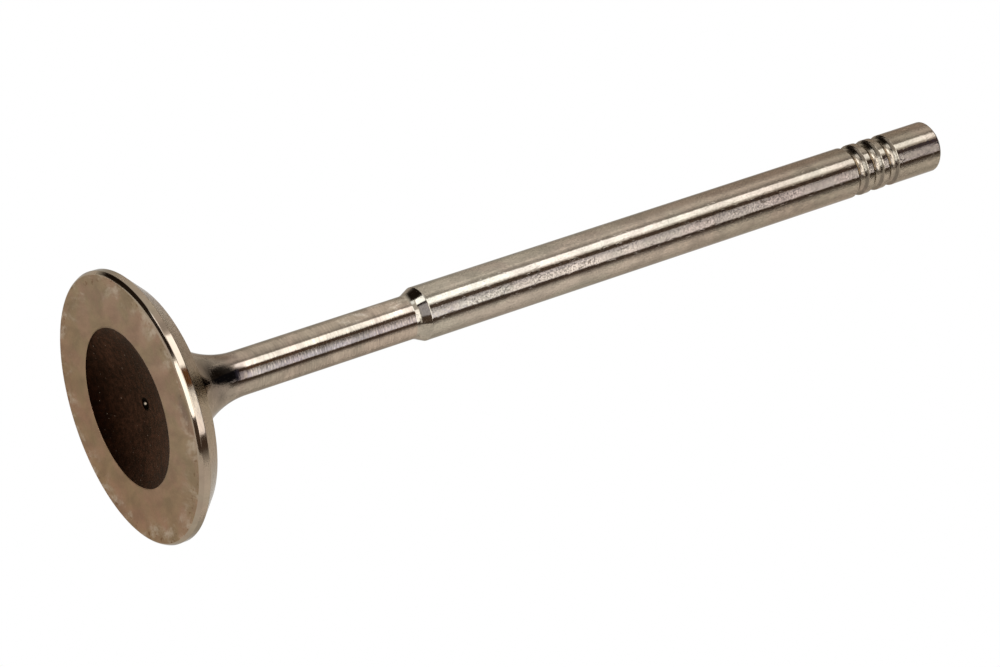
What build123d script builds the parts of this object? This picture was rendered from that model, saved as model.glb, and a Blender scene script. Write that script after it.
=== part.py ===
"""Poppet valve of an engine: one forging, ground all over but for the dish in its face.

The valve stands on its head. The origin is the centre of the head's flat face and
+Z runs up the stem to the tip. All sizes are in millimetres.
"""

from build123d import *
import math
import os

# Overall
overall_length = 107.0
head_diameter = 29.2
stem_diameter = 6.0
neck_diameter = 4.8

# Edge of the head: a steep bevel off the face, the upright margin, the 45 degree seat
edge_bevel_width = 0.26
edge_bevel_height = 0.45
margin_height = 0.72
seat_angle = 45.0
seat_width = 2.8

# Back of the head: a flat cone that sweeps into the neck
back_angle = 15.0
tulip_radius = 9.5

# Dish forged into the face, a little off the stem's axis, and the centre mark that is on it
dish_diameter = 17.4
dish_depth = 2.1
dish_shift_x = -0.23
centre_mark_diameter = 1.5
centre_mark_depth = 0.5

# Step from the relieved neck up to the full stem
cone_top_height = 35.4
cone_angle = 25.0
cone_foot_radius = 1.65

# Keeper grooves, round in section, counted down from the tip
groove_count = 3
groove_pitch = 2.28
groove_width = 1.5
groove_depth = 0.48
groove_lip_radius = 0.06
tip_length = 6.55
tip_chamfer = 0.35

# Worked out
head_radius = head_diameter / 2
stem_radius = stem_diameter / 2
neck_radius = neck_diameter / 2
face_radius = head_radius - edge_bevel_width
margin_top = edge_bevel_height + margin_height
seat_slope = math.radians(seat_angle)
seat_inner_radius = head_radius - seat_width * math.cos(seat_slope)
seat_top = margin_top + seat_width * math.sin(seat_slope)
back_foot = seat_top + (seat_inner_radius - neck_radius) * math.tan(math.radians(back_angle))
cone_foot = cone_top_height - (stem_radius - neck_radius) / math.tan(math.radians(cone_angle))
first_groove = overall_length - tip_length - groove_width / 2
groove_heights = [first_groove - groove_pitch * number for number in range(groove_count)]


def arc_radius(width, depth):
    """Radius of the round groove or dish that is this wide at its mouth and this deep."""
    return ((width / 2) ** 2 + depth**2) / (2 * depth)


def corners_at(section, radius, heights):
    """Corners of the half section at this radius and at these heights."""
    wanted = [Vector(radius, height) for height in heights]
    return [
        corner
        for corner in section.vertices()
        if any((Vector(*corner) - place).length < 0.001 for place in wanted)
    ]


def half_section():
    """Half of the valve's lengthwise section, from the axis outwards, without the grooves."""
    with BuildSketch(Plane.XZ) as section:
        with BuildLine():
            Polyline(
                (0, 0),
                (face_radius, 0),
                (head_radius, edge_bevel_height),
                (head_radius, margin_top),
                (seat_inner_radius, seat_top),
                (neck_radius, back_foot),
                (neck_radius, cone_foot),
                (stem_radius, cone_top_height),
                (stem_radius, overall_length - tip_chamfer),
                (stem_radius - tip_chamfer, overall_length),
                (0, overall_length),
                close=True,
            )
        make_face()
        fillet(corners_at(section, neck_radius, [back_foot]), tulip_radius)
        fillet(corners_at(section, neck_radius, [cone_foot]), cone_foot_radius)
    return section.sketch


def grooved_section():
    """The half section with the keeper grooves cut in and their lips broken."""
    groove_radius = arc_radius(groove_width, groove_depth)
    groove_centre = stem_radius - groove_depth + groove_radius
    with BuildSketch(Plane.XZ) as section:
        add(half_section())
        with Locations(*[(groove_centre, height) for height in groove_heights]):
            Circle(groove_radius, mode=Mode.SUBTRACT)
        lips = [height + side * groove_width / 2 for height in groove_heights for side in (-1, 1)]
        fillet(corners_at(section, stem_radius, lips), groove_lip_radius)
    return section.sketch


def dish():
    """The round dish, as the ball that leaves it, and the small cone of the centre mark."""
    ball_radius = arc_radius(dish_diameter, dish_depth)
    ball = Pos(dish_shift_x, 0, dish_depth - ball_radius) * Sphere(ball_radius)
    mark_start = dish_depth / 2
    mark_end = dish_depth + centre_mark_depth
    spread = centre_mark_diameter / 2 / centre_mark_depth
    mark = Cone(
        (mark_end - mark_start) * spread,
        0,
        mark_end - mark_start,
        align=(Align.CENTER, Align.CENTER, Align.MIN),
    )
    return ball + Pos(0, 0, mark_start) * mark


def valve():
    """The whole valve as one solid."""
    return revolve(grooved_section(), Axis.Z) - dish()


os.makedirs("parts", exist_ok=True)
export_step(valve(), "parts/valve.step")
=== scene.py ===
"""An engine's poppet valve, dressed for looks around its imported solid.

Lengths are in metres. The valve stands on its head: the origin is the centre of the head's
face and +Z runs up the stem. The studio is built for a camera that looks up at the face.
"""

import math

import bmesh
import bpy
from mathutils import Matrix, Quaternion, Vector


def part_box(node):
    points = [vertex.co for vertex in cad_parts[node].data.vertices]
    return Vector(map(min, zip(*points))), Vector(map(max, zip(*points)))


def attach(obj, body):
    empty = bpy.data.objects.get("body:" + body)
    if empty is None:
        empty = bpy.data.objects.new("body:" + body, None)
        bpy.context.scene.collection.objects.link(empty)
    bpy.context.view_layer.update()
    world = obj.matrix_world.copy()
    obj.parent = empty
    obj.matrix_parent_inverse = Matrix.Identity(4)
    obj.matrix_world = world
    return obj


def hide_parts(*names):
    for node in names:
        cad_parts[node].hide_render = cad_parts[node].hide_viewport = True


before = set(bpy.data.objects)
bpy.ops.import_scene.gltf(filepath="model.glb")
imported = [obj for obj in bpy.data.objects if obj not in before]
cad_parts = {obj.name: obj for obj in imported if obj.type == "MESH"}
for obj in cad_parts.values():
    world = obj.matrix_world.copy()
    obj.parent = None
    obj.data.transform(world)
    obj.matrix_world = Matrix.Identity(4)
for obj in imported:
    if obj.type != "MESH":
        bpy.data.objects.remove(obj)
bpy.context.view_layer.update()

bl_info = {
    "name": "Engine valve",
    "version": (1, 0, 0),
    "blender": (4, 5, 0),
    "location": "3D View > Sidebar > Valve",
    "description": "Makes a ground steel poppet valve and a small studio round it",
    "category": "Object",
}

MM = 0.001
FULL_TURN = math.tau
ORIGIN = (0.0, 0.0, 0.0)
lowest_corner, highest_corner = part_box("valve")


# Settings


def length(name, description, millimetres):
    """A length that a user may change, given here in millimetres."""
    return bpy.props.FloatProperty(
        name=name,
        description=description,
        default=millimetres * MM,
        min=0.0,
        subtype="DISTANCE",
        unit="LENGTH",
        precision=5,
    )


def slope(name, description, degrees):
    """An angle that a user may change, given here in degrees."""
    return bpy.props.FloatProperty(
        name=name,
        description=description,
        default=math.radians(degrees),
        subtype="ANGLE",
        unit="ROTATION",
    )


def colour(name, description, red, green, blue):
    """A colour that a user may change, written as the 0 to 255 values of a screen."""
    return bpy.props.FloatVectorProperty(
        name=name,
        description=description,
        default=[linear(value / 255) for value in (red, green, blue)],
        min=0.0,
        max=1.0,
        size=3,
        subtype="COLOR",
    )


def share(name, description, value, highest=1.0):
    """A plain number from 0 to its highest that a user may change."""
    return bpy.props.FloatProperty(
        name=name, description=description, default=value, min=0.0, max=highest
    )


def linear(value):
    """The light that a screen value between 0 and 1 stands for."""
    if value <= 0.04045:
        return value / 12.92
    return ((value + 0.055) / 1.055) ** 2.4


class ValveSizes(bpy.types.PropertyGroup):
    """Sizes of the valve, as they are in its solid"""

    overall_length: length(
        "Overall length", "From the face to the tip", (highest_corner[2] - lowest_corner[2]) / MM
    )
    head_diameter: length(
        "Head diameter", "Across the margin", (highest_corner[0] - lowest_corner[0]) / MM
    )
    stem_diameter: length("Stem diameter", "Of the full stem", 6.0)
    neck_diameter: length("Neck diameter", "Of the relieved neck under the stem", 4.8)
    edge_bevel_width: length("Edge bevel width", "How far the bevel reaches into the face", 0.26)
    edge_bevel_height: length("Edge bevel height", "How far the bevel reaches up the edge", 0.45)
    margin_height: length("Margin height", "Upright band round the head", 0.72)
    seat_width: length("Seat width", "Along the 45 degree seat", 2.8)
    tulip_radius: length("Tulip radius", "Sweep from the back of the head into the neck", 9.5)
    dish_diameter: length("Dish diameter", "Across the dish in the face", 17.4)
    dish_depth: length("Dish depth", "At the middle of the dish", 2.1)
    dish_shift: length("Dish shift", "How far the dish lies off the stem's axis", 0.23)
    mark_diameter: length("Centre mark diameter", "Across the centre mark", 1.5)
    mark_depth: length("Centre mark depth", "Below the dish", 0.5)
    cone_top_height: length("Cone top height", "Where the full stem starts", 35.4)
    cone_foot_radius: length("Cone foot radius", "Between the neck and the cone", 1.65)
    groove_pitch: length("Groove pitch", "From one keeper groove to the next", 2.28)
    groove_width: length("Groove width", "Across one keeper groove", 1.5)
    groove_depth: length("Groove depth", "Of one keeper groove", 0.48)
    tip_length: length("Tip length", "From the last groove to the tip", 6.55)
    tip_chamfer: length("Tip chamfer", "On the edge of the tip", 0.35)
    edge_ease: length("Edge ease", "How far each ground edge is broken", 0.036)
    face_edge_ease: length("Face edge ease", "How far the face's edge is rounded", 0.2)
    seat_angle: slope("Seat angle", "Of the seat, from the face", 45)
    back_angle: slope("Back angle", "Of the cone behind the seat, from the face", 15)
    cone_angle: slope("Cone angle", "Of the step up to the full stem, from the axis", 25)
    groove_count: bpy.props.IntProperty(
        name="Keeper grooves", description="How many grooves the stem has", default=3, min=0
    )
    facets_round: bpy.props.IntProperty(
        name="Facets round", description="Steps of the spin about the stem", default=256, min=24
    )


class ValveFinish(bpy.types.PropertyGroup):
    """Colours and polish of the valve's surfaces"""

    face_colour: colour("Face", "Ground ring of the face", 136, 113, 89)
    # also the colour of the dish's specks and of the painted glint in the centre mark
    smear_and_glint_colour: colour("Smears", "Pale smears on the face", 174, 157, 137)
    dish_colour: colour("Dish", "Forging scale in the dish", 52, 32, 21)
    head_colour: colour("Head", "Steel of the seat and the back of the head", 154, 133, 110)
    rim_colour: colour("Rim", "Steel of the edge bevel and the margin", 152, 136, 118)
    neck_colour: colour("Neck", "Ground steel of the neck", 156, 141, 125)
    steel_colour: colour("Steel", "Ground steel of the stem", 161, 149, 134)
    tip_colour: colour("Tip", "Browner steel by the tip", 148, 134, 118)
    face_roughness: share("Face roughness", "Of the ground face", 0.42)
    dish_roughness: share("Dish roughness", "Of the scale in the dish", 0.6)
    rim_roughness: share("Rim roughness", "Of the edge bevel and the margin", 0.09)
    seat_roughness: share("Seat roughness", "Of the seat", 0.15)
    back_roughness: share("Back roughness", "Of the back of the head", 0.17)
    stem_roughness: share("Stem roughness", "Of the neck and the stem", 0.09)
    groove_roughness: share("Groove roughness", "Of the turned keeper grooves", 0.18)


class StudioSettings(bpy.types.PropertyGroup):
    """The studio's light levels, where 1 is white, its floor and its lens"""

    world_level: share("Room light", "Level of the white room on dull surfaces", 0.85, 4.0)
    floor_colour: colour("Floor", "Pale floor", 232, 231, 229)
    strip_level: share("Strip level", "Brightness of the strip light", 3.4, 20.0)
    lens: bpy.props.FloatProperty(
        name="Lens", description="Focal length in millimetres", default=121.33, min=1.0
    )


# Section and spin

# A run has a short edge at each end, this long and at most this share of the run
HOLD = 0.09 * MM
MOST_HOLD = 0.2

# The stem's run is longer than this, and is drawn with more edges
LONG_RUN = 10 * MM

# Vertices this near to each other are one, and those this near to the face's plane lie in it
WELD = 0.001 * MM
FLAT = 0.002 * MM

# The dish's shift comes in over these distances from the centre mark and from the face's edge
MARK_BLEND = 1.5 * MM
RIM_BLEND = 4 * MM


class Section:
    """Half of a lengthwise section, drawn as a chain of edges from axis to axis."""

    def __init__(self, mesh, radius, height):
        self.mesh = mesh
        self.end = mesh.verts.new((radius, 0.0, height))
        self.corners = []

    def step(self, radius, height):
        """Run straight to this radius and height with one edge."""
        made = bmesh.ops.extrude_vert_indiv(self.mesh, verts=[self.end])
        place = Vector((radius, 0.0, height))
        bmesh.ops.translate(self.mesh, verts=made["verts"], vec=place - self.end.co)
        self.end = made["verts"][0]

    def line(self, radius, height, steps):
        """Run straight to this radius and height, with short first and last edges."""
        start = self.end.co.copy()
        way = Vector((radius, 0.0, height)) - start
        near = min(HOLD / way.length, MOST_HOLD)
        for number in range(steps + 1):
            along = near + (1 - 2 * near) * number / steps
            place = start + way * along
            self.step(place.x, place.z)
        self.step(radius, height)

    def arc(self, centre_radius, centre_height, angle, steps):
        """Run round this centre by this angle."""
        made = bmesh.ops.spin(
            self.mesh,
            geom=[self.end],
            cent=(centre_radius, 0.0, centre_height),
            axis=(0.0, 1.0, 0.0),
            angle=angle,
            steps=steps,
        )
        self.end = made["geom_last"][0]

    def corner(self):
        """Mark the corner that the section has come to, which ease() breaks."""
        self.corners.append(self.end)

    def ease(self, reach):
        """Break the marked corners."""
        bmesh.ops.bevel(
            self.mesh,
            geom=self.corners,
            offset=reach,
            offset_type="OFFSET",
            affect="VERTICES",
            segments=3,
            profile=0.5,
            material=-1,
        )


def draw_dish(section, sizes):
    """The centre mark and the dish, from the axis out to the dish's lip."""
    dish_radius = sizes.dish_diameter / 2
    ball_radius = (dish_radius**2 + sizes.dish_depth**2) / (2 * sizes.dish_depth)
    mark_radius = sizes.mark_diameter / 2
    mark_turn = math.asin(mark_radius / ball_radius)
    dish_turn = math.asin(dish_radius / ball_radius)
    ball_height = sizes.dish_depth - ball_radius
    section.line(mark_radius, ball_height + ball_radius * math.cos(mark_turn), steps=2)
    section.corner()
    section.arc(0.0, ball_height, dish_turn - mark_turn, steps=30)
    section.corner()


def draw_head(section, sizes):
    """The face's ring, the edge bevel, the margin, the seat, the back and its sweep."""
    head_radius = sizes.head_diameter / 2
    neck_radius = sizes.neck_diameter / 2
    margin_top = sizes.edge_bevel_height + sizes.margin_height
    seat_radius = head_radius - sizes.seat_width * math.cos(sizes.seat_angle)
    seat_top = margin_top + sizes.seat_width * math.sin(sizes.seat_angle)
    bevel_turn = math.atan2(sizes.edge_bevel_height, sizes.edge_bevel_width)
    round_start = head_radius - sizes.edge_bevel_width - sizes.face_edge_ease
    round_radius = sizes.face_edge_ease / math.tan(bevel_turn / 2)
    section.line(round_start, 0.0, steps=6)
    section.arc(round_start, round_radius, -bevel_turn, steps=8)
    section.line(head_radius, sizes.edge_bevel_height, steps=2)
    section.corner()
    section.line(head_radius, margin_top, steps=2)
    section.corner()
    section.line(seat_radius, seat_top, steps=4)
    section.corner()
    sweep = math.pi / 2 - sizes.back_angle
    back_foot = seat_top + (seat_radius - neck_radius) * math.tan(sizes.back_angle)
    tangent = sizes.tulip_radius * math.tan(sweep / 2)
    section.line(
        neck_radius + tangent * math.cos(sizes.back_angle),
        back_foot - tangent * math.sin(sizes.back_angle),
        steps=4,
    )
    section.arc(neck_radius + sizes.tulip_radius, back_foot + tangent, sweep, steps=44)


def draw_stem(section, sizes):
    """The neck, the cone, the stem with its keeper grooves, and the tip."""
    stem_radius = sizes.stem_diameter / 2
    neck_radius = sizes.neck_diameter / 2
    cone_rise = (stem_radius - neck_radius) / math.tan(sizes.cone_angle)
    tangent = sizes.cone_foot_radius * math.tan(sizes.cone_angle / 2)
    foot_start = sizes.cone_top_height - cone_rise - tangent
    section.line(neck_radius, foot_start, steps=14)
    section.arc(neck_radius + sizes.cone_foot_radius, foot_start, sizes.cone_angle, steps=10)
    section.line(stem_radius, sizes.cone_top_height, steps=2)
    section.corner()
    half_width = sizes.groove_width / 2
    groove_radius = (half_width**2 + sizes.groove_depth**2) / (2 * sizes.groove_depth)
    groove_centre = stem_radius - sizes.groove_depth + groove_radius
    groove_turn = 2 * math.asin(half_width / groove_radius)
    last_groove = sizes.overall_length - sizes.tip_length - half_width
    for number in reversed(range(sizes.groove_count)):
        middle = last_groove - sizes.groove_pitch * number
        run = middle - half_width - section.end.co.z
        section.line(stem_radius, middle - half_width, steps=24 if run > LONG_RUN else 2)
        section.corner()
        section.arc(groove_centre, middle, groove_turn, steps=16)
        section.corner()
    section.line(stem_radius, sizes.overall_length - sizes.tip_chamfer, steps=5)
    section.corner()
    section.line(stem_radius - sizes.tip_chamfer, sizes.overall_length, steps=1)
    section.corner()
    section.line(0.0, sizes.overall_length, steps=3)


def distance_from_axis(place):
    """How far a place is from the stem's axis."""
    return math.hypot(place.x, place.y)


def shift_dish(mesh, sizes):
    """Move the dish off the axis, and leave the centre mark and the face's rim on it."""
    inner = sizes.mark_diameter / 2
    outer = sizes.head_diameter / 2 - sizes.edge_bevel_width
    for vert in mesh.verts:
        radius = distance_from_axis(vert.co)
        in_head = vert.co.z < sizes.dish_depth + sizes.mark_depth
        in_reach = inner < radius < outer - sizes.edge_ease
        on_face = vert.co.z < FLAT or radius < sizes.dish_diameter / 2
        if in_head and in_reach and on_face:
            part = min(1.0, (radius - inner) / MARK_BLEND, (outer - radius) / RIM_BLEND)
            vert.co.x -= sizes.dish_shift * part


def spin_valve(sizes):
    """The whole valve as one closed mesh."""
    mesh = bmesh.new()
    section = Section(mesh, 0.0, sizes.dish_depth + sizes.mark_depth)
    draw_dish(section, sizes)
    draw_head(section, sizes)
    draw_stem(section, sizes)
    section.ease(sizes.edge_ease)
    bmesh.ops.spin(
        mesh,
        geom=mesh.verts[:] + mesh.edges[:],
        cent=ORIGIN,
        axis=(0.0, 0.0, 1.0),
        angle=FULL_TURN,
        steps=sizes.facets_round,
        use_merge=True,
    )
    bmesh.ops.remove_doubles(mesh, verts=mesh.verts[:], dist=WELD)
    shift_dish(mesh, sizes)
    bmesh.ops.recalc_face_normals(mesh, faces=mesh.faces[:])
    return mesh


# The surfaces, in the order of their materials
FACE, DISH, RIM, SEAT, BACK, STEM = range(6)

# How high the flat face's facets may lie, how far inside and outside its own circle the shifted
# lip may lie, and how far the cone and its foot reach down from the full stem
FACE_RISE = 0.03 * MM
LIP_INSIDE = 0.25 * MM
LIP_OUTSIDE = 0.3 * MM
CONE_REACH = 1.6 * MM


def zone(face, sizes):
    """Which surface of the valve this face of the mesh is on."""
    middle = face.calc_center_median()
    radius = distance_from_axis(middle)
    margin_top = sizes.edge_bevel_height + sizes.margin_height
    seat_top = margin_top + sizes.seat_width * math.sin(sizes.seat_angle)
    lip_radius = sizes.dish_diameter / 2
    if middle.z < FACE_RISE and radius > lip_radius - LIP_INSIDE:
        return FACE
    if middle.z < seat_top and radius < lip_radius + LIP_OUTSIDE:
        return DISH
    if middle.z < margin_top:
        return RIM
    if middle.z < seat_top:
        return SEAT
    if middle.z < sizes.cone_top_height - CONE_REACH:
        return BACK
    return STEM


# Nodes

WHITE = (1.0, 1.0, 1.0)
BLACK = (0.0, 0.0, 0.0)

# A Mix node's sockets for colours, which share their names with those for other kinds
MIX_FACTOR = 0
MIX_FIRST = 6
MIX_SECOND = 7
MIX_RESULT = 2


class Socket:
    """A node's output, on which Python's operators add Math nodes."""

    def __init__(self, nodes, output):
        self.nodes = nodes
        self.output = output

    def beside(self, name):
        """The output of this name on the same node."""
        return Socket(self.nodes, self.output.node.outputs[name])

    def math(self, operation, *others):
        """A Math node of this operation on this value and the others."""
        return self.nodes.add("ShaderNodeMath", {"operation": operation}, [self, *others])

    def __add__(self, other):
        return self.math("ADD", other)

    def __sub__(self, other):
        return self.math("SUBTRACT", other)

    def __mul__(self, other):
        return self.math("MULTIPLY", other)

    def __truediv__(self, other):
        return self.math("DIVIDE", other)

    def __radd__(self, other):
        return self.math("ADD", other)

    def __rmul__(self, other):
        return self.math("MULTIPLY", other)

    def __rsub__(self, other):
        return self.nodes.add("ShaderNodeMath", {"operation": "SUBTRACT"}, [other, self])

    def __rtruediv__(self, other):
        return self.nodes.add("ShaderNodeMath", {"operation": "DIVIDE"}, [other, self])

    def clamp(self):
        """The value held between 0 and 1."""
        return self.nodes.add("ShaderNodeClamp", {}, [self])

    def ramp(self, low, high):
        """0 at low and below, 1 at high and above, with a smooth step between."""
        settings = {"interpolation_type": "SMOOTHSTEP"}
        sockets = {"Value": self, "From Min": low, "From Max": high}
        return self.nodes.add("ShaderNodeMapRange", settings, sockets)

    def band(self, start, full, fall, end):
        """1 from full to fall, and 0 up to start and from end, with smooth steps between."""
        return self.ramp(start, full) * (1 - self.ramp(fall, end))


class Nodes:
    """A material's or a world's node tree, made afresh."""

    def __init__(self, owner):
        owner.use_nodes = True
        self.tree = owner.node_tree
        self.tree.nodes.clear()

    def add(self, kind, settings=None, sockets=None, output=0):
        """A node of this kind: its settings first, then its sockets' values or links.

        It gives back the output of this number or name, or the node where it has none.
        """
        node = self.tree.nodes.new(kind)
        for name, value in (settings or {}).items():
            setattr(node, name, value)
        pairs = sockets.items() if isinstance(sockets, dict) else enumerate(sockets or [])
        for key, value in pairs:
            if isinstance(value, Socket):
                self.tree.links.new(value.output, node.inputs[key])
            else:
                node.inputs[key].default_value = value
        return Socket(self, node.outputs[output]) if node.outputs else node

    def mix(self, factor, first, second, blend="MIX"):
        """Two colours mixed by a factor."""
        settings = {"data_type": "RGBA", "blend_type": blend, "clamp_factor": True}
        sockets = {MIX_FACTOR: factor, MIX_FIRST: opaque(first), MIX_SECOND: opaque(second)}
        return self.add("ShaderNodeMix", settings, sockets, MIX_RESULT)

    def noise(self, place, scale, detail=2.0, roughness=0.5, distortion=0.0):
        """A cloudy value between 0 and 1, with this many clouds to a metre of its place."""
        sockets = {
            "Vector": place,
            "Scale": scale,
            "Detail": detail,
            "Roughness": roughness,
            "Distortion": distortion,
        }
        return self.add("ShaderNodeTexNoise", {"noise_dimensions": "3D"}, sockets)

    def bump(self, height, depth, normal=None):
        """A bumped normal, from a height between 0 and 1 and its real depth."""
        sockets = {"Height": height, "Distance": depth, "Strength": 1.0}
        if normal:
            sockets["Normal"] = normal
        return self.add("ShaderNodeBump", {}, sockets)

    def stretch(self, place, factors):
        """Places scaled by a factor each way."""
        return self.add("ShaderNodeVectorMath", {"operation": "MULTIPLY"}, [place, factors])

    def split(self, place):
        """The three parts of a place."""
        across = self.add("ShaderNodeSeparateXYZ", {}, [place])
        return across, across.beside("Y"), across.beside("Z")

    def tint(self, tone, factor, low, high):
        """A colour multiplied by one between two tints."""
        return self.mix(1.0, tone, self.mix(factor, low, high), "MULTIPLY")


def opaque(tone):
    """A colour with its alpha, or a socket as it is."""
    if isinstance(tone, Socket):
        return tone
    return (*tone, 1.0)


def radius_of(across, deep):
    """The distance from the stem's axis."""
    return (across * across + deep * deep).math("SQRT")


def facing(nodes, place, azimuth, low, high):
    """1 on the side of the valve at this azimuth, where 0 is the side of -Y and 90 that of +X.

    It fades from 1 to 0 as the cosine of the way round falls from high to low.
    """
    across, deep, _ = nodes.split(place)
    way = math.radians(azimuth)
    cosine = (across * math.sin(way) - deep * math.cos(way)) / radius_of(across, deep)
    return cosine.ramp(low, high)


def spot(nodes, place, middle, full, end):
    """1 as near to the middle as full, and 0 past end."""
    settings = {"operation": "DISTANCE"}
    away = nodes.add("ShaderNodeVectorMath", settings, [place, middle], "Value")
    return 1 - away.ramp(full, end)


def see_through(nodes, solid, surface):
    """End a material in this surface, clear where solid is 0."""
    clear = nodes.add("ShaderNodeBsdfTransparent")
    mixed = nodes.add("ShaderNodeMixShader", {}, [solid, clear, surface])
    nodes.add("ShaderNodeOutputMaterial", {}, [mixed])


# Finishes

# Tint of the steel's reflections at a low angle
EDGE_TINT = (0.68, 0.65, 0.6)

# Single marks. The grey arc and the smears are drawn out, so their middles are in stretched places
GLINT_PLACE = (-0.05 * MM, 0.42 * MM, 2.3 * MM)
GREY_ARC_STRETCH = (0.42, 1.0, 1.0)
GREY_ARC_PLACE = (0.8 * MM, -13.1 * MM, 0.0)
SMEAR_STRETCH = (1.0, 1.0, 0.3)
SMEAR_PLACE = (-1.8 * MM, -1.6 * MM, 9.0 * MM)

LOWEST_GROOVE = 95.14 * MM
GROOVE_PITCH = 2.28 * MM

# How many times in a metre the marks that run round the valve change along their length
MARK_CHANGES = 90.0
RING_CHANGES = 620.0
TICK_CHANGES = 1700.0


def metal(build, finish):
    """A steel material. build(nodes, place, finish) returns its colour, roughness and normal."""
    material = bpy.data.materials.new(build.__name__)
    nodes = Nodes(material)
    place = nodes.add("ShaderNodeTexCoord", output="Object")
    tone, polish, normal = build(nodes, place, finish)
    sockets = {
        "Base Color": tone,
        "Roughness": polish,
        "Metallic": 1.0,
        "Specular Tint": opaque(EDGE_TINT),
        "Normal": normal,
    }
    surface = nodes.add("ShaderNodeBsdfPrincipled", {}, sockets)
    nodes.add("ShaderNodeOutputMaterial", {}, [surface])
    return material


def swing(depth):
    """A darker and a paler grey, this far from plain."""
    return (1 - depth,) * 3, (1 + depth,) * 3


def stained(nodes, place, tone, size, depth):
    """A steel's colour with cloudy stains of this size, some greenish and some rosy."""
    cloud = nodes.noise(place, 1 / size, 5.0, 0.62, 0.4).ramp(0.33, 0.67)
    hue = nodes.noise(place, 0.45 / size, 3.0, 0.5).ramp(0.4, 0.6)
    tone = nodes.tint(tone, cloud, *swing(depth))
    return nodes.tint(tone, hue, (1.015, 0.985, 0.98), (0.985, 1.005, 0.985))


def wheel_marks(nodes, place, spacing, depth, normal=None, where=1.0):
    """The fine marks that a grinding wheel or a tool leaves round the axis."""
    drawn_out = nodes.stretch(place, (MARK_CHANGES, MARK_CHANGES, 1 / spacing))
    marks = nodes.noise(drawn_out, 1.0, 3.0, 0.6)
    return nodes.bump(marks * where, depth, normal)


def ringed(nodes, place, tone, spacing, depth, rubbed):
    """A steel's colour with fine rings round the axis, broken into ticks where it is rubbed."""
    drawn_out = nodes.stretch(place, (RING_CHANGES, RING_CHANGES, 1 / spacing))
    rings = nodes.noise(drawn_out, 1.0, 2.0, 0.6, 0.3)
    tone = nodes.tint(tone, rings.ramp(0.3, 0.7), *swing(depth))
    cut_up = nodes.stretch(place, (TICK_CHANGES, TICK_CHANGES, 1 / spacing))
    ticks = nodes.noise(cut_up, 1.0, 2.0, 0.6)
    tone = nodes.tint(tone, (ticks.ramp(0.3, 0.7) - 0.5) * rubbed + 0.5, *swing(2 * depth))
    return nodes.tint(tone, ticks.ramp(0.66, 0.74) * rubbed, WHITE, (1.5, 1.5, 1.55))


def mottled(nodes, place, tone, size, depth, where):
    """A steel's colour with fine grains, where they are to show."""
    grains = nodes.noise(place, 1 / size, 2.0, 0.6).ramp(0.3, 0.7)
    return nodes.tint(tone, (grains - 0.5) * where + 0.5, *swing(depth))


def pitted(nodes, place, size, depth, normal=None):
    """Shallow pits and waves of a worn surface."""
    return nodes.bump(nodes.noise(place, 1 / size, 3.0, 0.55), depth, normal)


def rubbed_side(nodes, place):
    """1 in a band along the side of the neck and the stem that is rubbed."""
    return facing(nodes, place, 8, 0.93, 0.985)


def ground_face(nodes, place, finish):
    """The face's ring: matt from grinding, with cloudy stains, and pale smears by its edge."""
    across, deep, _ = nodes.split(place)
    radius = radius_of(across, deep)
    swept = nodes.stretch(place, (1.0, 0.5, 1.0))
    tone = stained(nodes, swept, finish.face_colour, 2.2 * MM, 0.13)
    browner = (across * 0.54 + deep * 0.84).ramp(-13 * MM, 13 * MM)
    tone = nodes.tint(tone, browner, (1.04, 1.08, 1.13), (0.97, 0.91, 0.85))
    hue = nodes.noise(place, 260.0, 3.0, 0.55).ramp(0.4, 0.6)
    tone = nodes.tint(tone, hue, (1.05, 0.98, 1.04), (0.97, 1.0, 0.97))
    # a darker, cooler grey arc by the face's edge on the side of -Y
    along_edge = nodes.stretch(place, GREY_ARC_STRETCH)
    grey_arc = spot(nodes, along_edge, GREY_ARC_PLACE, 0.4 * MM, 1.1 * MM)
    tone = nodes.tint(tone, grey_arc, WHITE, (0.8, 0.82, 0.88))
    smear = nodes.noise(swept, 420.0, 6.0, 0.68, 0.3).ramp(0.5, 0.68)
    tone = nodes.mix(smear * radius.ramp(10.5 * MM, 14 * MM), tone, finish.smear_and_glint_colour)
    chips = nodes.noise(place, 1300.0, 3.0, 0.6).ramp(0.6, 0.66) * radius.ramp(12.4 * MM, 13.9 * MM)
    tone = nodes.tint(tone, chips, WHITE, (0.62, 0.5, 0.4))
    grain = nodes.noise(place, 3600.0, 2.0)
    tone = nodes.tint(tone, grain, *swing(0.07))
    polish = finish.face_roughness + (grain - 0.5) * 0.1
    return tone, polish, pitted(nodes, place, 0.35 * MM, 0.009 * MM)


def forged_dish(nodes, place, finish):
    """The dish as it was forged: dark scale with pale specks, and the black centre mark."""
    across, deep, _ = nodes.split(place)
    radius = radius_of(across, deep)
    cloud = nodes.noise(place, 260.0, 4.0, 0.6).ramp(0.35, 0.65)
    tone = nodes.tint(finish.dish_colour, cloud, (0.7, 0.66, 0.64), (1.25, 1.25, 1.25))
    # painted shade: the dish is darker towards +Y
    painted_dish_shade = deep.ramp(-1 * MM, 9.5 * MM)
    tone = nodes.tint(tone, painted_dish_shade, WHITE, (0.15, 0.08, 0.03))
    scale = nodes.noise(place, 2000.0, 3.0, 0.7).ramp(0.35, 0.7)
    tone = nodes.tint(tone, scale, (0.55, 0.52, 0.5), (1.6, 1.6, 1.65))
    specks = nodes.noise(place, 4200.0, 1.0).ramp(0.74, 0.8)
    tone = nodes.mix(specks * 0.4, tone, finish.smear_and_glint_colour)
    mark = 1 - radius.ramp(0.68 * MM, 0.78 * MM)
    tone = nodes.mix(mark * 0.95, tone, BLACK)
    # painted glint: a pale spot in the centre mark
    glint = spot(nodes, place, GLINT_PLACE, 0.07 * MM, 0.2 * MM)
    tone = nodes.mix(glint, tone, finish.smear_and_glint_colour)
    polish = finish.dish_roughness + (scale - 0.5) * 0.12
    return tone, polish, pitted(nodes, place, 0.45 * MM, 0.045 * MM)


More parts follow.
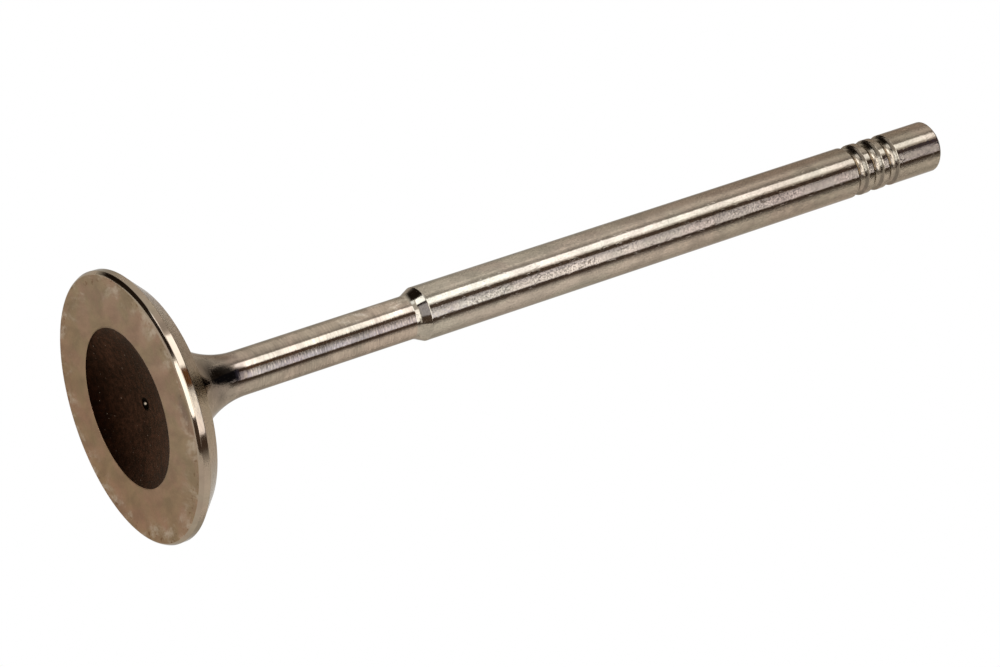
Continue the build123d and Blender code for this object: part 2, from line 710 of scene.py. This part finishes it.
def polished_rim(nodes, place, finish):
    """The edge bevel and the margin, which are nearly mirrors."""
    tone = stained(nodes, place, finish.rim_colour, 1.6 * MM, 0.06)
    return tone, finish.rim_roughness, pitted(nodes, place, 0.9 * MM, 0.005 * MM)


def ground_seat(nodes, place, finish):
    """The seat, with the seat cutter's fine marks round it."""
    tone = stained(nodes, place, finish.head_colour, 1.8 * MM, 0.06)
    return tone, finish.seat_roughness, wheel_marks(nodes, place, 0.09 * MM, 0.03 * MM)


def ground_back(nodes, place, finish):
    """The back of the head, darker round its sweep and with painted shade on it, that turns into
    the smooth and rubbed neck.
    """
    height = nodes.split(place)[2]
    smooth = height.ramp(4.5 * MM, 9.5 * MM)
    tone = nodes.mix(smooth, finish.head_colour, finish.neck_colour)
    # darker all round the back of the head where it sweeps into the neck
    darker_sweep = height.band(5.5 * MM, 8.5 * MM, 12.2 * MM, 13.6 * MM)
    tone = nodes.tint(tone, darker_sweep, WHITE, (0.88, 0.87, 0.88))
    tone = stained(nodes, nodes.stretch(place, (0.7, 0.7, 1.0)), tone, 2.0 * MM, 0.16)
    # painted reflection: a dark band painted across the sweep, on the side at azimuth 2
    painted_shade_band = height.band(11.2 * MM, 11.9 * MM, 12.3 * MM, 13.2 * MM)
    painted_shade_band = painted_shade_band * facing(nodes, place, 2, 0.93, 0.985)
    tone = nodes.tint(tone, painted_shade_band, WHITE, (0.6, 0.6, 0.62))
    # painted shade: the neck's foot is darker on the side at azimuth -48
    painted_shade_side = height.band(9.5 * MM, 11 * MM, 14 * MM, 22 * MM)
    painted_shade_side = painted_shade_side * facing(nodes, place, -48, 0.8, 0.96)
    tone = nodes.tint(tone, painted_shade_side, WHITE, (0.84, 0.83, 0.83))
    turned = height.ramp(11 * MM, 15 * MM)
    rings = ringed(nodes, place, tone, 0.15 * MM, 0.12, rubbed_side(nodes, place))
    tone = nodes.mix(turned, tone, rings)
    smears = nodes.noise(nodes.stretch(place, (1.0, 1.0, 0.45)), 1100.0, 5.0, 0.65, 0.5)
    patch = spot(nodes, nodes.stretch(place, SMEAR_STRETCH), SMEAR_PLACE, 0.7 * MM, 1.9 * MM)
    tone = nodes.tint(tone, smears.ramp(0.48, 0.64) * patch, WHITE, (1.4, 1.48, 1.56))
    polish = finish.back_roughness + smooth * (finish.stem_roughness - finish.back_roughness)
    worn_off = height.ramp(9 * MM, 12 * MM) * 0.65
    normal = wheel_marks(nodes, place, 0.16 * MM, 0.008 * MM, where=1 - worn_off)
    return tone, polish, pitted(nodes, place, 0.28 * MM, 0.004 * MM, normal)


def ground_stem(nodes, place, finish):
    """The stem: ground smooth, scuffed along one side, and browner towards the tip. Its grooves
    have painted highlight and painted shade.
    """
    across, deep, height = nodes.split(place)
    radius = radius_of(across, deep)
    tone = nodes.mix(height.ramp(44 * MM, 86 * MM), finish.steel_colour, finish.tip_colour)
    tone = stained(nodes, nodes.stretch(place, (1.0, 1.0, 0.6)), tone, 1.7 * MM, 0.12)
    worn = nodes.noise(nodes.stretch(place, (1.0, 1.0, 0.4)), 320.0, 2.0).ramp(0.38, 0.54)
    worn = worn * rubbed_side(nodes, place) * height.ramp(38 * MM, 42 * MM)
    tone = mottled(nodes, place, tone, 0.18 * MM, 0.4, worn * 0.7 + 0.3)
    scuffs = nodes.noise(nodes.stretch(place, (2600.0, 2600.0, 900.0)), 1.0, 2.0, 0.5, 0.6)
    scuffs = scuffs.ramp(0.6, 0.7)
    tone = nodes.tint(tone, scuffs * worn, WHITE, (0.5, 0.47, 0.44))
    normal = pitted(nodes, place, 0.4 * MM, 0.0045 * MM)
    normal = nodes.bump(scuffs, 0.004 * MM, normal)
    turned = height.ramp(93 * MM, 94 * MM) * (1 - radius.ramp(2.88 * MM, 2.99 * MM))
    # Each groove has its middle at 0.5 of its own pitch
    pitches = (height - (LOWEST_GROOVE - GROOVE_PITCH / 2)) / GROOVE_PITCH
    way_up = pitches.math("FRACT")
    # painted highlight: the head-side half of each groove is paler, on the side at azimuth -6
    painted_highlight_side = turned * (1 - way_up.ramp(0.46, 0.54)) * facing(nodes, place, -6, 0.9, 0.96)
    # painted shade: the bottom of each groove is nearly black on the side at azimuth -54
    painted_groove_shade = turned * way_up.band(0.38, 0.52, 0.62, 0.76)
    painted_groove_shade = painted_groove_shade * facing(nodes, place, -54, 0.92, 0.995)
    # painted shade: the tip-side wall of each groove is darker all round
    painted_lip_shade = turned * way_up.ramp(0.66, 0.72)
    tone = nodes.tint(tone, painted_groove_shade, WHITE, (0.08, 0.07, 0.06))
    tone = nodes.tint(tone, painted_highlight_side, WHITE, (3.3, 3.1, 3.0))
    tone = nodes.tint(tone, painted_lip_shade, WHITE, (0.6, 0.6, 0.6))
    polish = finish.stem_roughness + turned * (finish.groove_roughness - finish.stem_roughness)
    polish = polish + painted_highlight_side * 0.12
    return tone, polish, wheel_marks(nodes, place, 0.12 * MM, 0.014 * MM, normal, turned)


def finishes(finish):
    """The materials of the zones, in the zones' order."""
    builds = (ground_face, forged_dish, polished_rim, ground_seat, ground_back, ground_stem)
    return [metal(build, finish) for build in builds]


# Studio

# The cards' distance, the gap from one layer to the next, and the degrees in one of their facets
STAND_OFF = 6.0
LAYER_GAP = 0.1
CARD_STEP = 5

# Tones of the cards
COOL = (0.9, 0.99, 1.1)
PALE = (0.95, 1.0, 1.08)
LILAC = (0.95, 0.98, 1.18)
SLATE = (0.9, 0.95, 1.3)
BLUISH = (0.9, 1.0, 1.4)
BLUE = (0.8, 0.85, 1.5)
UMBER = (1.3, 0.95, 0.75)
RUST = (2.0, 0.8, 0.12)

CAMERA_PLACE = (4.8669 * MM, -316.2424 * MM, -137.2646 * MM)
CAMERA_AIM = (4.798 * MM, 0.0, 44.246 * MM)
CAMERA_ROLL = math.radians(71.276)
SENSOR_WIDTH = 36.0
NEAREST_SEEN = 0.01
FARTHEST_SEEN = 50.0

LAMP_PLACE = (-0.5, 0.3, 1.1)
LAMP_SIDE = 0.9
LAMP_POWER = 1.5

# The floor lies a hair under the face, and fades from the one distance to the other
FLOOR_DROP = 0.02 * MM
FLOOR_REACH = 6.0
FLOOR_FULL = 0.4
FLOOR_GONE = 2.0


def add_object(name, data):
    """Put an object with this data into the scene."""
    thing = bpy.data.objects.new(name, data)
    bpy.context.scene.collection.objects.link(thing)
    return thing


def add_mesh(name, mesh):
    """Turn a bmesh into an object at the origin."""
    data = bpy.data.meshes.new(name)
    mesh.to_mesh(data)
    mesh.free()
    return add_object(name, data)


def card(
    name,
    azimuths,
    elevations,
    level,
    fades=(2, 2, 2, 2),
    tone=WHITE,
    layer=0,
    cover=1.0,
    lean=0,
    lift=0,
):
    """A card bent round the valve, between these azimuths and elevations in degrees.

    Azimuth 0 is the side of -Y, and 90 the side of +X. A level over 1 is a light and a low
    one a dark flag. Each edge fades over these degrees: the low azimuth's, the high one's,
    the bottom's and the top's. A card of a higher layer hangs in front. Cover is how much of
    what is behind the card it hides. Lean is how far it leans over, in degrees of azimuth to
    each degree up. Lift turns the whole card up about the X axis, so that one made round
    azimuth 0 hangs overhead.
    """
    reach = STAND_OFF - layer * LAYER_GAP
    width, height = azimuths[1] - azimuths[0], elevations[1] - elevations[0]
    mesh = bmesh.new()
    uv = mesh.loops.layers.uv.new("UVMap")
    corner = mesh.verts.new((0.0, -reach, 0.0))
    start_up = Matrix.Rotation(math.radians(-elevations[0]), 3, "X")
    start_round = Matrix.Rotation(math.radians(azimuths[0]), 3, "Z")
    bmesh.ops.rotate(mesh, verts=[corner], matrix=start_up)
    up_steps = max(2, round(height / CARD_STEP))
    round_steps = max(2, round(width / CARD_STEP))
    turn(mesh, [corner], (-1, 0, 0), math.radians(height), up_steps)
    bmesh.ops.rotate(mesh, verts=mesh.verts[:], matrix=start_round)
    turn(mesh, mesh.verts[:] + mesh.edges[:], (0, 0, 1), math.radians(width), round_steps)
    for face in mesh.faces:
        for loop in face.loops:
            x, y, z = loop.vert.co
            azimuth = math.degrees(math.atan2(x, -y)) - azimuths[0]
            elevation = math.degrees(math.asin(z / reach)) - elevations[0]
            loop[uv].uv = (((azimuth + 90) % 360 - 90) / width, elevation / height)
    for vert in mesh.verts:
        climb = math.asin(vert.co.z / reach) - math.radians(elevations[0])
        vert.co.rotate(Matrix.Rotation(lean * climb, 3, "Z"))
    lifted = Matrix.Rotation(math.radians(-lift), 3, "X")
    bmesh.ops.rotate(mesh, verts=mesh.verts[:], matrix=lifted)
    piece = add_mesh(name, mesh)
    shares = [fade / span for fade, span in zip(fades, (width, width, height, height))]
    piece.data.materials.append(card_material(name, level, shares, tone, cover))
    piece.visible_camera = False
    piece.visible_diffuse = False


def turn(mesh, geometry, axis, angle, steps):
    """Spin some geometry about an axis through the origin."""
    bmesh.ops.spin(mesh, geom=geometry, cent=ORIGIN, axis=axis, angle=angle, steps=steps)


def card_material(name, level, fades, tone, cover):
    """A plain glow that fades out towards the card's edges."""
    material = bpy.data.materials.new(name)
    nodes = Nodes(material)
    across, up, _ = nodes.split(nodes.add("ShaderNodeTexCoord", output="UV"))
    left, right, bottom, top = fades
    solid = across.ramp(0.0, left) * (1 - across).ramp(0.0, right)
    solid = solid * up.ramp(0.0, bottom) * (1 - up).ramp(0.0, top) * cover
    glow = nodes.add("ShaderNodeEmission", {}, {"Color": opaque(tone), "Strength": level})
    see_through(nodes, solid, glow)
    return material


def make_floor(studio):
    """A pale floor that shows from above only, keeps the valve's shadow and fades far away."""
    mesh = bmesh.new()
    bmesh.ops.create_grid(mesh, x_segments=1, y_segments=1, size=FLOOR_REACH)
    bmesh.ops.translate(mesh, verts=mesh.verts[:], vec=(0.0, 0.0, -FLOOR_DROP))
    floor = add_mesh("studio_floor", mesh)
    material = bpy.data.materials.new("studio_floor")
    nodes = Nodes(material)
    from_camera = nodes.add("ShaderNodeLightPath", output="Is Camera Ray")
    from_below = nodes.add("ShaderNodeNewGeometry", output="Backfacing")
    place = nodes.add("ShaderNodeTexCoord", output="Object")
    near = spot(nodes, place, ORIGIN, FLOOR_FULL, FLOOR_GONE)
    pale = nodes.add("ShaderNodeBsdfDiffuse", {}, {"Color": opaque(studio.floor_colour)})
    see_through(nodes, from_camera * (1 - from_below) * near, pale)
    floor.data.materials.append(material)


def make_world(studio):
    """A white room: white to the eye and in the metal, and a plain level of light."""
    world = bpy.data.worlds.new("white_room")
    bpy.context.scene.world = world
    nodes = Nodes(world)
    ray = nodes.add("ShaderNodeLightPath", output="Is Camera Ray")
    seen = (ray + ray.beside("Is Glossy Ray") + ray.beside("Is Transmission Ray")).clamp()
    level = seen + (1 - seen) * studio.world_level
    room = nodes.add("ShaderNodeBackground", {}, {"Color": opaque(WHITE), "Strength": level})
    nodes.add("ShaderNodeOutputWorld", {}, [room])


def make_cards(studio):
    """The strip, the panels and the flags, which show only in the polished steel."""
    # The strip light, and the dark flags between it and the panel
    strip = studio.strip_level
    card("key_strip", (-48, -16.8), (26.5, 45), strip, (2.5, 11, 1.5, 9), COOL, lean=-0.55)
    card("key_strip_foot", (-46, -13.6), (18, 28), 3.9, (2.5, 5, 3, 1.2), COOL, layer=2, lean=-0.3)
    card("key_strip_rim", (-64, -48.5), (20, 60), 0.7, (8, 3, 4, 10), layer=1)
    card("key_flag", (-19.6, 1.2), (19.5, 60), 0.11, (4, 4, 2.5, 10), UMBER, layer=1, lean=-0.1)
    card("key_flag_foot", (-20, 0), (19.5, 25.2), 0.16, (3, 3, 2.5, 0.4), RUST, layer=1.5)
    card("key_flag_top", (-31, 3), (38.2, 62), 0.02, (11, 6, 3, 6), layer=1.7)
    # Lights below the strip and the panel, for the sweep of the head
    card("strip_low", (-73, -49), (-10, 20), 2.6, (7, 8, 6, 4), COOL)
    card("foot_glow", (-24, 34), (-16, 19.5), 3.2, (8, 18, 6, 3), PALE)
    # The panel: a dimmer half for the neck, a brighter one for the stem, and its glowing parts
    card("panel", (-1.5, 39), (2, 28.9), 0.34, (3, 3, 6, 0.4), LILAC)
    card("panel_edge", (-2.5, 39), (28.7, 60), 0.9, (2.5, 3, 0.4, 20), LILAC, layer=0.5)
    card("panel_neck", (-1, 39), (12, 28.9), 1.3, (30, 3, 3, 0.4), BLUISH, layer=1)
    card("panel_glow", (-1, 39), (28.7, 60), 1.45, (34, 3, 0.4, 20), LILAC, layer=1)
    card("panel_bright", (-6, 38), (28.6, 37), 2.1, (30, 3, 0.5, 6), PALE, layer=2)
    card("panel_foot", (-3, 39), (0, 25.2), 3.2, (11, 3, 8, 0.4), PALE, layer=3)
    card("panel_tip", (1, 39), (33, 60), 1.6, (15, 3, 5, 20), LILAC, layer=3)
    card("panel_end", (1, 36), (36.6, 60), 2.6, (8, 9, 0.9, 20), PALE, layer=3.5, cover=0.5)
    # Dark flags across the panel and beside it
    card("panel_notch", (-6, 18), (26.2, 29), 0.08, (3, 14, 0.8, 0.3), UMBER, layer=4, cover=0.85)
    card("panel_flag", (37.5, 68), (-2, 60), 0.09, (3, 20, 4, 10), UMBER, layer=4)
    card("panel_flag_low", (42, 60), (-60, 2), 0.08, (6, 10, 4, 4), UMBER, layer=4)
    card("panel_flag_mid", (35.2, 46), (28.6, 34), 0.09, (3, 3, 0.5, 3), UMBER, layer=4.5)
    # Glows and shades on both sides and behind
    card("side_glow_neck", (62, 122), (8, 28.7), 1.12, (16, 20, 6, 0.8))
    card("side_glow", (62, 112), (28, 60), 1.3, (12, 20, 0.8, 10))
    card("side_high", (48, 76), (33, 60), 0.2, (8, 14, 4, 8), layer=5, cover=0.28)
    card("side_dim", (58, 106), (33.5, 37.4), 0.2, (12, 16, 2, 0.8), layer=5, cover=0.14)
    card("side_shade", (112, 176), (8, 37), 0.8, (20, 10, 6, 5))
    card("left_glow_neck", (-120, -68), (25, 28.7), 1.35, (10, 14, 1.5, 0.8))
    card("left_glow", (-82, -62), (28, 60), 1.25, (8, 8, 0.8, 10))
    card("left_glow_high", (-94, -64), (32, 60), 1.32, (14, 10, 3, 10), layer=0.5)
    card("far_shade", (-176, -116), (8, 44), 0.75, (10, 24, 6, 5))
    card("upper_shade", (-170, -84), (30, 50), 0.4, (10, 24, 6, 8), UMBER, layer=2, cover=0.42)
    # Low cards, for the margin, the seat, the cone and the edge bevel
    card("low_flag", (-146, -67), (-16, 24), 0.02, (18, 7, 3, 24), UMBER)
    card("bevel_flag", (-150, -27), (-40, -11), 0.03, (20, 4, 7, 2), UMBER, layer=1)
    card("low_strip", (-69, -40), (-25.5, -12), 3.8, (3, 4, 3, 1), COOL, layer=2)
    card("cone_panel", (-37, 23), (-27, -15.5), 0.8, (9, 8, 1, 5), LILAC, layer=1)
    card("bevel_panel", (-27, 25), (-70, -27), 4.5, (4, 2, 6, 2), COOL, layer=2)
    card("low_shade", (12, 58), (-60, -14), 0.1, (8, 6, 6, 2), UMBER)
    # The dark ceiling and the shades overhead, for the back of the head and its sweep
    card("ceiling_left", (-96, -14), (40, 88), 0.1, (34, 10, 19, 1), layer=5)
    card("ceiling_mid", (-54, -8), (41, 62), 0.05, (16, 8, 9, 6), layer=5.2)
    card("ceiling_right", (-24, 62), (38, 88), 0.01, (10, 40, 3.2, 1), SLATE, layer=5.5)
    card("ceiling_edge", (-24, 40), (37.6, 46), 0.15, (8, 6, 2, 5), BLUE, layer=5.7, cover=0.7)
    card("ceiling_top", (-40, 24), (-42, 26), 0.01, (24, 30, 12, 36), UMBER, layer=5, lift=90)
    card("overhead_shade", (-50, 8), (-4, 48), 0.4, (24, 20, 10, 26), layer=4, cover=0.6, lift=90)
    card(
        "overhead_right", (6, 64), (-38, 34), 0.2, (14, 28, 14, 28), layer=4.5, cover=0.36, lift=90
    )
    card(
        "overhead_left", (-58, -30), (-36, 30), 0.2, (8, 10, 14, 20), layer=4.5, cover=0.28, lift=90
    )


def make_lamp():
    """A large soft lamp overhead, for the shadow on the floor."""
    light = bpy.data.lights.new("overhead_lamp", "AREA")
    light.shape = "SQUARE"
    light.size = LAMP_SIDE
    light.energy = LAMP_POWER
    lamp = add_object("overhead_lamp", light)
    lamp.location = LAMP_PLACE
    lamp.rotation_euler = Vector(LAMP_PLACE).to_track_quat("Z", "Y").to_euler()
    lamp.visible_camera = False
    lamp.visible_glossy = False


def make_camera(studio):
    """The camera, close to the head and below its face."""
    data = bpy.data.cameras.new("camera")
    data.lens = studio.lens
    data.sensor_width = SENSOR_WIDTH
    data.clip_start = NEAREST_SEEN
    data.clip_end = FARTHEST_SEEN
    camera = add_object("camera", data)
    place = Vector(CAMERA_PLACE)
    level = (Vector(CAMERA_AIM) - place).to_track_quat("-Z", "Y")
    camera.location = place
    camera.rotation_mode = "QUATERNION"
    camera.rotation_quaternion = level @ Quaternion((0.0, 0.0, 1.0), CAMERA_ROLL)
    bpy.context.scene.camera = camera


# Operators


class VALVE_OT_make_valve(bpy.types.Operator):
    """Spin the valve, finish its surfaces and let it stand for its solid"""

    bl_idname = "valve.make_valve"
    bl_label = "Make valve"

    def execute(self, context):
        sizes = context.scene.valve_sizes
        mesh = spin_valve(sizes)
        if not all(edge.is_manifold for edge in mesh.edges):
            raise RuntimeError("the valve's mesh isn't closed")
        for face in mesh.faces:
            face.smooth = True
            face.material_index = zone(face, sizes)
        piece = add_mesh("engine_valve", mesh)
        for material in finishes(context.scene.valve_finish):
            piece.data.materials.append(material)
        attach(piece, "root")
        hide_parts("valve")
        return {"FINISHED"}


class VALVE_OT_make_studio(bpy.types.Operator):
    """Make the floor, the room, the lights and the camera"""

    bl_idname = "valve.make_studio"
    bl_label = "Make studio"

    def execute(self, context):
        studio = context.scene.valve_studio
        context.scene.view_settings.view_transform = "Standard"
        make_world(studio)
        make_floor(studio)
        make_cards(studio)
        make_lamp()
        make_camera(studio)
        return {"FINISHED"}


class VALVE_PT_panel(bpy.types.Panel):
    """Makes the valve and its studio, and holds their settings"""

    bl_label = "Engine valve"
    bl_idname = "VALVE_PT_panel"
    bl_space_type = "VIEW_3D"
    bl_region_type = "UI"
    bl_category = "Valve"

    def draw(self, context):
        layout = self.layout
        layout.operator(VALVE_OT_make_valve.bl_idname)
        layout.operator(VALVE_OT_make_studio.bl_idname)
        for settings in (
            context.scene.valve_sizes,
            context.scene.valve_finish,
            context.scene.valve_studio,
        ):
            box = layout.box()
            for name in settings.bl_rna.properties.keys():
                if name not in ("rna_type", "name"):
                    box.prop(settings, name)


CLASSES = (
    ValveSizes,
    ValveFinish,
    StudioSettings,
    VALVE_OT_make_valve,
    VALVE_OT_make_studio,
    VALVE_PT_panel,
)


def register():
    """Make the classes known to Blender and hang the settings on the scene."""
    for each in CLASSES:
        bpy.utils.register_class(each)
    bpy.types.Scene.valve_sizes = bpy.props.PointerProperty(type=ValveSizes)
    bpy.types.Scene.valve_finish = bpy.props.PointerProperty(type=ValveFinish)
    bpy.types.Scene.valve_studio = bpy.props.PointerProperty(type=StudioSettings)


def unregister():
    """Take back what register did."""
    del bpy.types.Scene.valve_studio
    del bpy.types.Scene.valve_finish
    del bpy.types.Scene.valve_sizes
    for each in reversed(CLASSES):
        bpy.utils.unregister_class(each)


def main():
    """Make everything in order."""
    register()
    bpy.ops.valve.make_valve()
    bpy.ops.valve.make_studio()
    bpy.context.view_layer.update()


if __name__ == "__main__":
    main()
